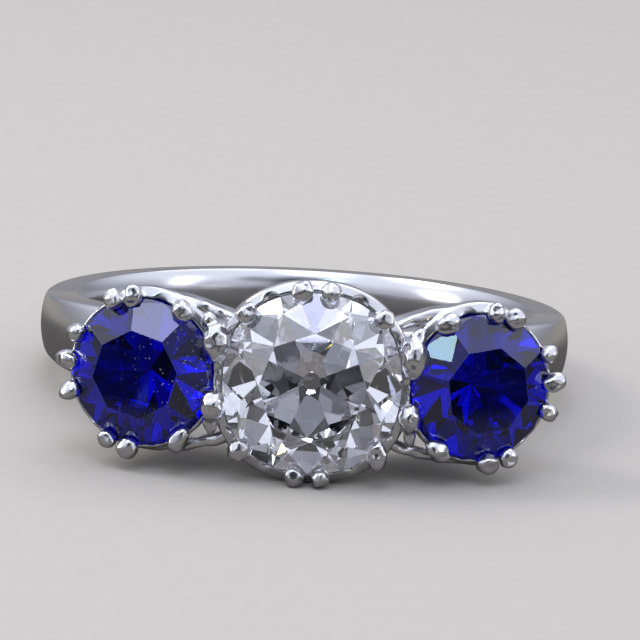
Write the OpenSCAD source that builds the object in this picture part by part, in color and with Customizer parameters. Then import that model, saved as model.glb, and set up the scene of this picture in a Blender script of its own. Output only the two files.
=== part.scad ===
// Three stone ring: a plain band whose head holds an old cut centre stone
// between two round side stones, each in a coronet collet with rounded claws.
// It lies on its side on Z = 0, with its head toward -Y.

/* [Finger hole and band] */
// Diameter of the finger hole
finger_hole_d = 16.8; // [15:0.1:19]
// Thickness of the band at the back
band_back_t = 1.25; // [1:0.05:1.6]
// How much thicker the band is under the head than at the back
band_head_extra = 0.6; // [0.3:0.05:0.8]
// Width of the band at the back
band_w = 2; // [1.6:0.1:2.6]
// Width of the band under the head
shoulder_w = 3; // [2.6:0.1:3.4]
// Height of the dome on the outer face, across the width under the head
band_dome = 0.35; // [0.2:0.05:0.45]
// Bevel on the two edges of the finger hole
band_edge = 0.12; // [0.06:0.01:0.18]

/* [Centre stone] */
// Width of the centre stone along the row of stones
diamond_w = 6.3; // [5.6:0.1:6.8]
// Width of the centre stone across the row of stones
diamond_l = 6.4; // [5.6:0.1:6.8]
// Squareness of its outline: 2 is an ellipse, more has softer corners further out
diamond_square = 2.25; // [2:0.05:2.5]
// Height of its crown above the girdle
diamond_crown = 1.02; // [0.8:0.02:1.2]
// Depth of its pavilion below the girdle
diamond_pavilion = 2.6; // [2.3:0.05:2.7]
// Width of its table, flat to flat
diamond_table = 3.5; // [3:0.1:4]
// Width of its flat culet
diamond_culet = 0.6; // [0.3:0.05:0.8]

/* [Side stones] */
// Diameter of the side stones
sapphire_d = 5.2; // [4.6:0.1:5.6]
// Height of their crown above the girdle
sapphire_crown = 0.85; // [0.7:0.05:1]
// Depth of their pavilion below the girdle
sapphire_pavilion = 2.15; // [1.9:0.05:2.3]
// Width of their table, flat to flat
sapphire_table = 2.9; // [2.4:0.1:3.3]
// Width of their culet
sapphire_culet = 0.2; // [0.1:0.05:0.4]

/* [Stones in the head] */
// Thickness of every girdle
girdle_t = 0.15; // [0.1:0.01:0.2]
// Height of the centre stone's girdle above the wall of the finger hole
head_rise = 4; // [3.8:0.1:4.4]
// How far the side stones' girdles sit below the centre stone's
side_drop = 0.9; // [0.6:0.1:1.2]
// Outward tilt of the side stones
side_tilt = 18; // [12:1:22]
// Gap between neighbouring stones at the middle of the row
stone_gap = 0.33; // [0.25:0.01:0.45]
// Clearance between a stone and the metal that holds it
seat_gap = 0.03; // [0.02:0.01:0.06]

/* [Collets] */
// Thickness of the collet walls
collet_wall = 0.4; // [0.3:0.05:0.5]
// How far a collet's rim stands out past the widest part of its stone
rim_out = 0.1; // [0.05:0.01:0.2]
// How far a collet's rim lies below the middle of the girdle
rim_drop = 0.25; // [0.2:0.01:0.35]
// Outer radius of the centre collet at its foot
centre_foot_r = 1.7; // [1.6:0.05:1.9]
// Outer radius of the side collets at their feet
side_foot_r = 1.4; // [1.3:0.05:1.6]
// Radius of the hole through the band under the centre stone
centre_hole_r = 1.2; // [0.9:0.05:1.3]
// Radius of the holes through the band under the side stones
side_hole_r = 0.8; // [0.6:0.05:0.9]
// Radius of the scallops in the rims
scallop_r = 0.4; // [0.3:0.02:0.44]
// Radius of the openings in the collet walls
window_r = 0.42; // [0.3:0.02:0.46]
// Depth of the middle of the openings below the girdle
window_drop = 1.3; // [1.2:0.05:1.5]

/* [Claws] */
// Radius of the rounded claw ends
claw_end_r = 0.37; // [0.33:0.01:0.4]
// Radius of the ends of the shared claws between two stones
shared_end_r = 0.44; // [0.38:0.01:0.48]
// Radius of a claw just under its rounded end
claw_top_r = 0.3; // [0.25:0.01:0.32]
// Radius of a claw at its foot
claw_foot_r = 0.2; // [0.15:0.01:0.24]
// How far the middle of a claw's end stands outside its stone's outline
claw_out = 0.12; // [0.08:0.01:0.18]
// How far the middle of a claw's end stands above the middle of the girdle
claw_up = 0.28; // [0.22:0.01:0.34]
// Distance of the shared claws from the middle line of the head
shared_claw_z = 1.05; // [0.95:0.05:1.15]

/* [Bridge rails] */
// How far the outer face of a rail stands out past its side stone
rail_out = 0.25; // [0.2:0.05:0.35]
// Radius of the rails' long curve
rail_curve_r = 9; // [7.5:0.25:12]
// Thickness of the rails
rail_t = 0.4; // [0.3:0.05:0.5]
// Depth of the rails along the stones' axes
rail_depth = 0.9; // [0.7:0.05:1.1]
// How far the front of the rails lies behind the side stones' girdles
rail_back = 0.3; // [0.25:0.05:0.5]

/* [Hidden] */
$fn = 48;
// Facets of the band's and rails' long curves, and of the finger hole
curve_fn = 96;
hole_fn = 128;

// Directions of the claws round the centre stone: 0 is along the row, 90 is up across it
corner_claw = 45;
centre_claws = [
    81.5, 98.5, -81.5, -98.5,
    corner_claw, 180 - corner_claw, -corner_claw, corner_claw - 180
];
// Directions of the openings in the centre collet, between its claws
centre_windows = [62, 118, -62, -118, 30, 150, -30, -150];
// Directions of the claws round a side stone: 0 points outward, away from the centre stone
side_claws = [82, 66, 26, 4, -19, -66, -83, 122, -125];
// Directions of the openings in a side collet, between its claws
side_windows = [102, 46, -43, -104];

facets = 8;
facet_step = 360 / facets;
// Where the small facets' tips lie, as shares of the height from the girdle to the table or culet
diamond_star_share = 0.55;
sapphire_tip_share = 0.28;
lower_tip_share = 0.55;
// Turn of each side stone's facets in its seat, from its outward direction
left_turn = 150;
right_turn = 9;
// Slopes of the two faces of a claw's notch, over the crown and under the pavilion
notch_up = 35;
notch_down = 45;

finger_r = finger_hole_d / 2;
band_outer_r = finger_r + band_back_t + band_head_extra / 2;
band_shift = band_head_extra / 2;
overrun = 1;

diamond_y = finger_r + head_rise;
sapphire_r = sapphire_d / 2;
side_x = diamond_w / 2 + stone_gap + sapphire_r * cos(side_tilt);
side_y = diamond_y - side_drop;

// Radius of a soft-cornered outline of widths w and l in direction a
function outline_r(w, l, n, a) =
    1 / pow(pow(abs(cos(a)) * 2 / w, n) + pow(abs(sin(a)) * 2 / l, n), 1 / n);
function diamond_r(a) = outline_r(diamond_w, diamond_l, diamond_square, a);
diamond_max_r = max([for (a = [0:5:90]) diamond_r(a)]);

// Distance of a main facet's plane from the stone's axis, a share of the way from girdle to table
function reach(girdle_r, flat_r, share) = girdle_r + (flat_r - girdle_r) * share;
// Point where the main facets at angles a and a + facet_step meet, at distances p and q
function ridge(a, p, q, h) = [
    (p * sin(a + facet_step) - q * sin(a)) / sin(facet_step),
    (q * cos(a) - p * cos(a + facet_step)) / sin(facet_step),
    h
];
function ring_of(turn, count) = [for (i = [0:count - 1]) turn + i * 360 / count];
function on_circle(a, r, h) = [r * cos(a), r * sin(a), h];

// Corner points of the centre stone: table corners on the main facets, star tips between them
function diamond_points() =
    let (g = girdle_t / 2, t = diamond_table / 2 / cos(facet_step / 2), c = diamond_culet / 2)
    let (lower = reach(-g, -diamond_pavilion, lower_tip_share))
    concat(
        [for (a = ring_of(0, facets)) on_circle(a, t * diamond_r(a) / diamond_r(0), diamond_crown)],
        [for (a = ring_of(0, facets)) ridge(a,
            reach(diamond_r(a), t * diamond_r(a) / diamond_r(0), diamond_star_share),
            reach(diamond_r(a + facet_step), t * diamond_r(a + facet_step) / diamond_r(0), diamond_star_share),
            reach(g, diamond_crown, diamond_star_share))],
        [for (a = ring_of(0, 2 * facets), h = [-g, g]) on_circle(a, diamond_r(a), h)],
        [for (a = ring_of(0, facets)) ridge(a,
            reach(diamond_r(a), c, lower_tip_share),
            reach(diamond_r(a + facet_step), c, lower_tip_share), lower)],
        [for (a = ring_of(0, facets)) ridge(a, c, c, -diamond_pavilion)]
    );

// Corner points of a side stone: the main facets meet the table along its edges
function sapphire_points(turn) =
    let (g = girdle_t / 2, t = sapphire_table / 2, c = sapphire_culet / 2)
    let (tip = reach(sapphire_r, t, sapphire_tip_share), low = reach(sapphire_r, c, lower_tip_share))
    concat(
        [for (a = ring_of(turn, facets)) ridge(a, t, t, sapphire_crown)],
        [for (a = ring_of(turn, facets)) ridge(a, tip, tip, reach(g, sapphire_crown, sapphire_tip_share))],
        [for (a = ring_of(turn, 2 * facets), h = [-g, g]) on_circle(a, sapphire_r, h)],
        [for (a = ring_of(turn, facets)) ridge(a, low, low, reach(-g, -sapphire_pavilion, lower_tip_share))],
        [for (a = ring_of(turn, facets)) ridge(a, c, c, -sapphire_pavilion)]
    );

function side_points(side) = sapphire_points(side < 0 ? left_turn : right_turn);

// Distance of the plane that just touches the points, square to direction n
function support(points, n) = max([for (p = points) p * n]);

// Depth below a girdle at (x, y), along an axis tilted by tilt, of the circle of radius r round the finger
function depth_to(x, y, tilt, r) =
    let (b = x * sin(tilt) + y * cos(tilt))
    b - sqrt(b * b - x * x - y * y + r * r);

// How far the collets' feet reach into the band, and the scallops' middles stand above the rim
foot_sink = 0.35;
scallop_lift = scallop_r / 3;
centre_depth = depth_to(0, diamond_y, 0, finger_r + band_back_t + band_head_extra - foot_sink);
side_depth = depth_to(side_x, side_y, side_tilt, finger_r + band_back_t - foot_sink);

// A shared claw stands where two neighbouring outlines leave equal gaps
diamond_edge_x = diamond_w / 2
    * pow(1 - pow(2 * shared_claw_z / diamond_l, diamond_square), 1 / diamond_square);
sapphire_edge = sqrt(sapphire_r * sapphire_r - shared_claw_z * shared_claw_z);
shared_x = (diamond_edge_x + side_x - sapphire_edge * cos(side_tilt)) / 2;
shared_y = (diamond_y + side_y + sapphire_edge * sin(side_tilt)) / 2;
shared_on_side = atan2(shared_claw_z, (shared_x - side_x) / cos(side_tilt));
shared_on_centre = atan2(shared_claw_z, shared_x);

// The ring rests on the lower claws of the centre stone and on the lower edge of its back
rest_claw = centre_claws[0];
rest_claw_z = (diamond_r(rest_claw) + claw_out) * sin(rest_claw);
back_edge_r = finger_r + band_back_t - band_dome * pow(band_w / shoulder_w, 2);
rest_arm_y = diamond_y + claw_up + back_edge_r;
rest_arm_z = rest_claw_z - band_w / 2;
rest_tilt = atan2(rest_arm_z, rest_arm_y)
    + asin(claw_end_r / sqrt(rest_arm_y * rest_arm_y + rest_arm_z * rest_arm_z));
rest_z = rest_claw_z * cos(rest_tilt) + claw_end_r - (diamond_y + claw_up) * sin(rest_tilt);
back_y = (finger_r + band_back_t) * cos(rest_tilt) + band_w / 2 * sin(rest_tilt);
front_y = (diamond_y + diamond_crown) * cos(rest_tilt) + diamond_table / 2 * sin(rest_tilt);
centre_y = (front_y - back_y) / 2;

// Puts the ring, drawn round the Z axis, down as it rests
module at_rest() {
    translate([0, centre_y, rest_z]) rotate([-rest_tilt, 0, 0]) children();
}

// Puts a shape drawn on a stone's axis, outward along Z, at a head: side 0, -1 or 1
module at_head(side) {
    translate([side * side_x, side == 0 ? -diamond_y : -side_y, 0])
        rotate([0, 0, side * side_tilt]) rotate([90, 0, 0]) children();
}

// The same at a side head, mirrored on the left so that X always points outward
module at_side(side) {
    at_head(side) mirror([side < 0 ? 1 : 0, 0, 0]) children();
}

// Wedge, in direction a, whose two faces clear the edge of a stone with these corner points
module notch(points, a) {
    half = 2 * shared_end_r;
    inward = 2;
    up = support(points, [sin(notch_up) * cos(a), sin(notch_up) * sin(a), cos(notch_up)]) + seat_gap;
    down = support(points, [sin(notch_down) * cos(a), sin(notch_down) * sin(a), -cos(notch_down)]) + seat_gap;
    // The two faces meet outside the girdle, at distance tip_r and height tip_h
    tip_r = (up * cos(notch_down) + down * cos(notch_up)) / sin(notch_up + notch_down);
    tip_h = (up * sin(notch_down) - down * sin(notch_up)) / sin(notch_up + notch_down);
    rotate([90, 0, a]) translate([0, 0, -half]) linear_extrude(2 * half)
        polygon([
            [tip_r, tip_h],
            [tip_r - inward, tip_h + inward * tan(notch_up)],
            [tip_r - inward, tip_h - inward * tan(notch_down)]
        ]);
}

// Tapered wire with a rounded end, from a foot point to the middle of its end
module claw_wire(foot, end, end_r) {
    run = end - foot;
    flat = norm([run.x, run.y]);
    translate(foot) rotate([0, 0, atan2(run.y, run.x)]) {
        rotate([0, atan2(flat, run.z), 0]) cylinder(h = norm(run), r1 = claw_foot_r, r2 = claw_top_r);
        translate([flat, 0, run.z]) sphere(end_r);
    }
}

// One claw of a head, notched for its stone's edge
module claw(points, edge_r, foot_r, depth, a) {
    difference() {
        rotate([0, 0, a])
            claw_wire([foot_r - claw_foot_r, 0, -depth], [edge_r + claw_out, 0, claw_up], claw_end_r);
        notch(points, a);
    }
}

// Tapering wall of a collet, from its foot to its rim
module collet_cone(rim_r, foot_r, depth) {
    translate([0, 0, -depth]) cylinder(h = depth - rim_drop, r1 = foot_r, r2 = rim_r);
}

// Space inside a collet: room for the stone, the wall's inner cone and the hole through the band
module collet_hollow(stone_r, culet_r, pavilion, rim_r, foot_r, depth, hole_r) {
    low_r = reach(stone_r, culet_r, lower_tip_share) / cos(facet_step / 2);
    low_h = reach(girdle_t / 2, pavilion, lower_tip_share);
    inner_foot_r = foot_r - collet_wall;
    rotate_extrude() polygon([
        [0, overrun],
        [stone_r + seat_gap, overrun],
        [stone_r + seat_gap, -girdle_t / 2],
        [low_r + seat_gap, -low_h],
        [0, -low_h]
    ]);
    translate([0, 0, -depth])
        cylinder(h = depth - rim_drop + seat_gap, r1 = inner_foot_r, r2 = rim_r - collet_wall);
    translate([0, 0, -depth - head_rise]) cylinder(h = head_rise + seat_gap, r = hole_r);
}

// Scallops in the rim and openings in the wall, cut outward from inside the wall
module collet_openings(directions, from_r, to_r) {
    for (a = directions) rotate([0, 90, a]) {
        translate([rim_drop - scallop_lift, 0, from_r]) cylinder(h = to_r - from_r, r = scallop_r);
        translate([window_drop, 0, from_r]) cylinder(h = to_r - from_r, r = window_r);
    }
}

module centre_wall() {
    rim_r = diamond_max_r + rim_out;
    at_head(0) difference() {
        collet_cone(rim_r, centre_foot_r, centre_depth);
        collet_openings(centre_windows, centre_foot_r - collet_wall / 2, rim_r + overrun / 2);
    }
}

module side_wall(side) {
    rim_r = sapphire_r + rim_out;
    at_side(side) difference() {
        collet_cone(rim_r, side_foot_r, side_depth);
        collet_openings(side_windows, side_foot_r - collet_wall / 2, rim_r + overrun / 2);
    }
}

module centre_claw_set() {
    points = diamond_points();
    at_head(0) for (a = centre_claws)
        claw(points, diamond_r(a), centre_foot_r, centre_depth, a);
}

module side_claw_set(side) {
    points = side_points(side);
    at_side(side) for (a = side_claws)
        claw(points, sapphire_r, side_foot_r, side_depth, a);
}

// Claws that hold the edges of two neighbouring stones
module shared_claws(side) {
    foot_y = finger_r + band_back_t / 2;
    for (up = [-1, 1]) difference() {
        claw_wire([side * shared_x, -foot_y, up * (shared_claw_z - claw_top_r)],
            [side * shared_x, -shared_y - claw_up, up * shared_claw_z],
            shared_end_r);
        at_head(0) notch(diamond_points(), side > 0 ? up * shared_on_centre : 180 - up * shared_on_centre);
        at_side(side) notch(side_points(side), up * shared_on_side);
    }
}

// Curved rail from the first claw of a side stone to the nearest corner claw of the centre stone
module bridge_rail(side, up) {
    outer_z = sapphire_r + rail_out;
    far_x = (sapphire_r + claw_out) * cos(side_claws[0]);
    near_x = (diamond_max_r * cos(corner_claw) - side_x) / cos(side_tilt);
    at_side(side) mirror([0, up < 0 ? 1 : 0, 0])
        translate([0, 0, -rail_back - rail_depth]) intersection() {
            translate([0, outer_z - rail_curve_r, 0]) difference() {
                cylinder(h = rail_depth, r = rail_curve_r, $fn = curve_fn);
                translate([0, 0, -overrun])
                    cylinder(h = rail_depth + 2 * overrun, r = rail_curve_r - rail_t, $fn = curve_fn);
            }
            translate([near_x, 0, 0]) cube([far_x - near_x, 2 * outer_z, rail_depth]);
        }
}

// Side view of the band: full width under the head, tapering to the back
module band_outline() {
    far = band_outer_r + overrun;
    full_y = side_y - sapphire_r - head_rise / 2;
    polygon([
        [-far, -shoulder_w / 2], [-full_y, -shoulder_w / 2], [0, -band_w / 2], [far, -band_w / 2],
        [far, band_w / 2], [0, band_w / 2], [-full_y, shoulder_w / 2], [-far, shoulder_w / 2]
    ]);
}

// The band, thicker toward the head, with a domed outer face
module band() {
    dome_steps = 6;
    half = shoulder_w / 2;
    intersection() {
        translate([0, -band_shift, 0]) rotate_extrude($fn = curve_fn) polygon(concat(
            [[0, half], [0, -half]],
            [for (i = [0:dome_steps])
                let (z = -half + i * shoulder_w / dome_steps)
                [band_outer_r - band_dome * z * z / (half * half), z]]
        ));
        rotate([90, 0, 90]) translate([0, 0, -band_outer_r - overrun])
            linear_extrude(2 * (band_outer_r + overrun)) band_outline();
    }
}

// Finger hole with its two bevels
module finger_hole() {
    cylinder(h = shoulder_w + 2 * overrun, r = finger_r, center = true, $fn = hole_fn);
    for (up = [-1, 1]) translate([0, 0, up * band_w / 2]) mirror([0, 0, up < 0 ? 1 : 0])
        translate([0, 0, -band_edge])
            cylinder(h = shoulder_w, r1 = finger_r, r2 = finger_r + shoulder_w);
}

// Band, walls and rails, hollowed out under each stone
module open_head() {
    difference() {
        union() {
            band();
            centre_wall();
            for (side = [-1, 1]) {
                side_wall(side);
                for (up = [-1, 1]) bridge_rail(side, up);
            }
        }
        at_head(0) collet_hollow(diamond_max_r, diamond_culet / 2, diamond_pavilion,
            diamond_max_r + rim_out, centre_foot_r, centre_depth, centre_hole_r);
        for (side = [-1, 1]) at_head(side) collet_hollow(sapphire_r, sapphire_culet / 2, sapphire_pavilion,
            sapphire_r + rim_out, side_foot_r, side_depth, side_hole_r);
    }
}

// The soldered metal: band, collets, claws and rails in one
module mount() {
    color("gainsboro") at_rest() difference() {
        union() {
            open_head();
            centre_claw_set();
            for (side = [-1, 1]) {
                side_claw_set(side);
                shared_claws(side);
            }
        }
        finger_hole();
    }
}

// A convex stone through its corner points
module stone(points) {
    hull() polyhedron(points, [[for (i = [0:len(points) - 1]) i]]);
}

module centre_diamond() {
    color("white") at_rest() at_head(0) stone(diamond_points());
}

module left_sapphire() {
    color("mediumblue") at_rest() at_side(-1) stone(side_points(-1));
}

module right_sapphire() {
    color("mediumblue") at_rest() at_side(1) stone(side_points(1));
}

mount();
centre_diamond();
left_sapphire();
right_sapphire();
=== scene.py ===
# Three stone ring on its side: polished band, claw set heads, an old cut diamond and two sapphires

import math
from types import SimpleNamespace

import bmesh
import bpy
import numpy as np
import openvdb
from bpy.props import FloatProperty, FloatVectorProperty, IntProperty, PointerProperty
from mathutils import Matrix, Vector


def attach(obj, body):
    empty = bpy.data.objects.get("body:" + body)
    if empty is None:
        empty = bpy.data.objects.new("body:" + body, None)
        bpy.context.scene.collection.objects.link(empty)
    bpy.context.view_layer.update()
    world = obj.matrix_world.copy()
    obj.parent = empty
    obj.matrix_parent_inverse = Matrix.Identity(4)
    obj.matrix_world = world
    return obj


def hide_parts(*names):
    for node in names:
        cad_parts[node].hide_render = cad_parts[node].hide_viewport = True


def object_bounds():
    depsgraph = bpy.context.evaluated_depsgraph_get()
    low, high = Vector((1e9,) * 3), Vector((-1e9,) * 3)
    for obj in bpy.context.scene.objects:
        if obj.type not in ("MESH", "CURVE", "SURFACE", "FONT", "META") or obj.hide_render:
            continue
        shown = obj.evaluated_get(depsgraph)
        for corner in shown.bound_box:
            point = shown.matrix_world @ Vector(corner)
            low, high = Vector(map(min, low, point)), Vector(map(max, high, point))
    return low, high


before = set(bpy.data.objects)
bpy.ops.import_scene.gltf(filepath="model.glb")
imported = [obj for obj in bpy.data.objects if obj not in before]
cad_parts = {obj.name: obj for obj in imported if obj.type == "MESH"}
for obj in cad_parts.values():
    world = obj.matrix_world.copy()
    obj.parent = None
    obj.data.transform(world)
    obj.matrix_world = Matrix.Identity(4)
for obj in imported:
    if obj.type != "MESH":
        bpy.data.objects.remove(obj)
cad_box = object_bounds()

bl_info = {
    "name": "Three stone ring",
    "version": (1, 0, 0),
    "blender": (4, 5, 0),
    "location": "3D Viewport > Sidebar > Ring",
    "description": "Makes the band, the claw set heads and the cut stones of a three stone ring",
    "category": "Object",
}

MM = 0.001
# Distance in millimetres that stands for far from any metal
FAR = 1.0


def length(name, description, value):
    """A size in millimetres, kept as Blender's own length."""
    return FloatProperty(name=name, description=description, default=value * MM, precision=5, unit="LENGTH")


def turn(name, description, degrees):
    """An angle in degrees, kept as Blender's own angle."""
    return FloatProperty(name=name, description=description, default=math.radians(degrees), unit="ROTATION")


def paint(name, description, hex_value):
    """A colour, given as an sRGB hex value."""
    return FloatVectorProperty(
        name=name, description=description, subtype="COLOR", size=3, min=0, max=1,
        default=linear(hex_value)[:3],
    )


def linear(hex_value):
    """Linear colour of an sRGB hex value, with full alpha."""
    shares = [int(hex_value[i:i + 2], 16) / 255 for i in (1, 3, 5)]
    return tuple(c / 12.92 if c <= 0.04045 else ((c + 0.055) / 1.055) ** 2.4 for c in shares) + (1.0,)


class RingBandSizes(bpy.types.PropertyGroup):
    """Sizes of the finger hole and the band"""

    finger_hole_d: length("Finger hole", "Diameter of the finger hole", 16.8)
    back_t: length("Back thickness", "Thickness of the band at the back", 1.25)
    head_extra: length("Extra under the head", "How much thicker the band is under the head", 0.6)
    back_w: length("Back width", "Width of the band at the back", 2.0)
    shoulder_w: length("Shoulder width", "Width of the band under the head", 3.0)
    dome: length("Dome", "Height of the dome on the outer face, across the shoulder width", 0.35)
    edge: length("Edge", "Bevel on the edges of the finger hole", 0.12)
    edge_round: length("Edge rounding", "Radius that polishing left on the band's edges", 0.1)
    inner_crown: length("Inner crown", "How far the hole's wall falls away toward its edges", 0.24)
    inner_lift: length("Shoulder lift", "How far it falls away more where the band is wide", 0.35)


class RingStoneSizes(bpy.types.PropertyGroup):
    """Sizes of the three stones and where they stand"""

    diamond_w: length("Diamond width", "Width along the row of stones", 6.3)
    diamond_l: length("Diamond length", "Width across the row of stones", 6.4)
    diamond_square: FloatProperty(
        name="Squareness", description="2 is an ellipse, more has softer corners further out", default=2.25
    )
    diamond_crown: length("Diamond crown", "Height of the crown above the girdle", 1.02)
    diamond_pavilion: length("Diamond pavilion", "Depth of the pavilion below the girdle", 2.6)
    diamond_table: length("Diamond table", "Width of the table, flat to flat", 3.5)
    diamond_culet: length("Diamond culet", "Width of the flat culet", 0.6)
    sapphire_d: length("Sapphire diameter", "Diameter of the side stones", 5.2)
    sapphire_crown: length("Sapphire crown", "Height of their crown above the girdle", 0.85)
    sapphire_pavilion: length("Sapphire pavilion", "Depth of their pavilion below the girdle", 2.15)
    sapphire_table: length("Sapphire table", "Width of their table, flat to flat", 2.9)
    sapphire_culet: length("Sapphire culet", "Width of their culet", 0.2)
    girdle_t: length("Girdle", "Thickness of every girdle", 0.15)
    facet_edge: length("Facet edge", "Width of the worn edges between facets", 0.034)
    head_rise: length("Head rise", "Height of the diamond's girdle above the finger hole", 4.0)
    side_drop: length("Side drop", "How far the sapphires' girdles sit below the diamond's", 0.9)
    side_tilt: turn("Side tilt", "Outward tilt of the sapphires", 18)
    stone_gap: length("Stone gap", "Gap between neighbouring stones", 0.33)
    seat_gap: length("Seat gap", "Clearance between a stone and the metal that holds it", 0.02)


class RingHeadSizes(bpy.types.PropertyGroup):
    """Sizes of the collets, claws and rails"""

    wall: length("Collet wall", "Thickness of the collet walls", 0.4)
    rim_out: length("Rim reach", "How far a rim stands out past its stone", 0.1)
    rim_drop: length("Rim drop", "How far a rim lies below the girdle's middle", 0.25)
    centre_foot_r: length("Centre foot", "Outer radius of the centre collet at its foot", 1.7)
    side_foot_r: length("Side foot", "Outer radius of the side collets at their feet", 1.4)
    centre_hole_r: length("Centre opening", "Radius of the hole under the diamond", 1.2)
    side_hole_r: length("Side opening", "Radius of the holes under the sapphires", 0.8)
    scallop_r: length("Scallop", "Radius of the scallops in the rims", 0.4)
    window_r: length("Window", "Radius of the openings in the collet walls", 0.42)
    window_drop: length("Window drop", "Depth of the openings below the girdle", 1.3)
    foot_sink: length("Foot sink", "How far the collets' feet reach into the band", 0.35)
    claw_end_r: length("Claw end", "Radius of the rounded claw ends", 0.37)
    shared_end_r: length("Shared claw end", "Radius of the ends of the claws between two stones", 0.44)
    claw_top_r: length("Claw top", "Radius of a claw just under its end", 0.3)
    claw_foot_r: length("Claw foot", "Radius of a claw at its foot", 0.2)
    claw_out: length("Claw reach", "How far a claw's end stands outside its stone's outline", 0.12)
    claw_up: length("Claw height", "How far a claw's end stands above the girdle", 0.28)
    shared_claw_z: length("Shared claw place", "Distance of the shared claws from the middle line", 1.05)
    rail_out: length("Rail reach", "How far a rail stands out past its sapphire", 0.25)
    rail_curve_r: length("Rail curve", "Radius of the rails' long curve", 9.0)
    rail_t: length("Rail thickness", "Thickness of the rails", 0.4)
    rail_depth: length("Rail depth", "Depth of the rails along the stones' axes", 0.9)
    rail_back: length("Rail back", "How far the rails lie behind the sapphires' girdles", 0.3)
    rail_round: length("Rail rounding", "Radius on the rails' long edges", 0.15)
    rim_t: length("Rim band", "Thickness of the band round each stone's edge", 0.4)
    rim_thin: length("Thin rim", "Its thickness on the outer and lower side of a sapphire", 0.14)
    rim_h: length("Rim height", "Height of that band", 0.5)
    rim_top: length("Rim top", "How far its inner edge lies below the girdle's middle", 0.03)
    rim_slope: length("Rim slope", "How much lower its outer edge lies than its inner one", 0.2)
    rim_round: length("Rim rounding", "Radius on its edges", 0.08)
    fillet: length("Solder fillet", "Radius of the solder where two pieces of metal meet", 0.1)
    soft_edge: length("Soft edge", "Radius that wear left on the metal's edges", 0.06)
    lumps: length("Lumps", "Height of the uneven places that hand work left", 0.028)
    cell: length("Cell", "Spacing of the points that the heads are worked out on", 0.05)


class RingFinish(bpy.types.PropertyGroup):
    """Colours and polish of the metal and the stones"""

    platinum: paint("Platinum", "Colour of the polished metal", "#DADADC")
    polish: FloatProperty(
        name="Polish", description="Roughness of the polished band", default=0.22, min=0, max=1
    )
    head_polish: FloatProperty(
        name="Head polish", description="Roughness of the worn heads", default=0.2, min=0, max=1
    )
    sapphire_blue: paint("Sapphire", "Colour that a sapphire lets through", "#0A6EF2")
    seed: IntProperty(name="Seed", description="Start of every random choice", default=11)


class RingStudio(bpy.types.PropertyGroup):
    """The camera and the soft lights"""

    view_azimuth: turn("Camera azimuth", "Turn of the camera round the head", -1.9)
    view_elevation: turn("Camera elevation", "Height of the camera over the ring's own plane", 8.7)
    view_roll: turn("Camera roll", "Roll of the camera", 2.98)
    view_distance: length("Camera distance", "Distance of the camera from its aim", 150)
    lens: FloatProperty(name="Lens", description="Focal length on a 36 mm sensor", default=240.9, min=1)
    floor_r: length("Floor radius", "Radius of the pale floor", 400)
    floor: paint("Floor", "Colour of the floor", "#B8B4AA")


def plain(group):
    """A property group's values as plain numbers, with every length in millimetres."""
    values = {}
    for name in type(group).__annotations__:
        value = getattr(group, name)
        unit = group.bl_rna.properties[name].unit
        values[name] = value / MM if unit == "LENGTH" else value
    return SimpleNamespace(**values)


# The sizes follow from here as they do in the part's source

# Facets round every stone, and the shares of the way from the girdle at which their small facets meet
FACETS = 8
STEP = 2 * math.pi / FACETS
STAR_SHARE = 0.55
TIP_SHARE = 0.28
LOW_SHARE = 0.55
# Side and turn of each sapphire's facets
SAPPHIRES = {"left": (-1, math.radians(150)), "right": (1, math.radians(9))}
# Direction of the claws beside the middle line, two of which the ring rests on, in degrees
REST_CLAW = 81.5


def outline_r(width, depth, squareness, angle):
    """Radius of a soft cornered outline in one direction, or in each of an array of them."""
    across = (np.abs(np.cos(angle)) * 2 / width) ** squareness
    along = (np.abs(np.sin(angle)) * 2 / depth) ** squareness
    return (across + along) ** (-1 / squareness)


def on_circle(angle, radius, height):
    """Point in a direction, at a radius and a height."""
    return np.array([radius * math.cos(angle), radius * math.sin(angle), height])


def ridge(angle, p, q, height):
    """Where the main facets at an angle and one step further meet, at distances p and q."""
    x = (p * math.sin(angle + STEP) - q * math.sin(angle)) / math.sin(STEP)
    y = (q * math.cos(angle) - p * math.cos(angle + STEP)) / math.sin(STEP)
    return np.array([x, y, height])


def reach(start, end, share):
    """Value at a share of the way between two others."""
    return start + (end - start) * share


def depth_to(x, y, tilt, radius):
    """Depth below a tilted girdle of the circle of this radius round the finger."""
    b = x * math.sin(tilt) + y * math.cos(tilt)
    return b - math.sqrt(b * b - x * x - y * y + radius * radius)


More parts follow.
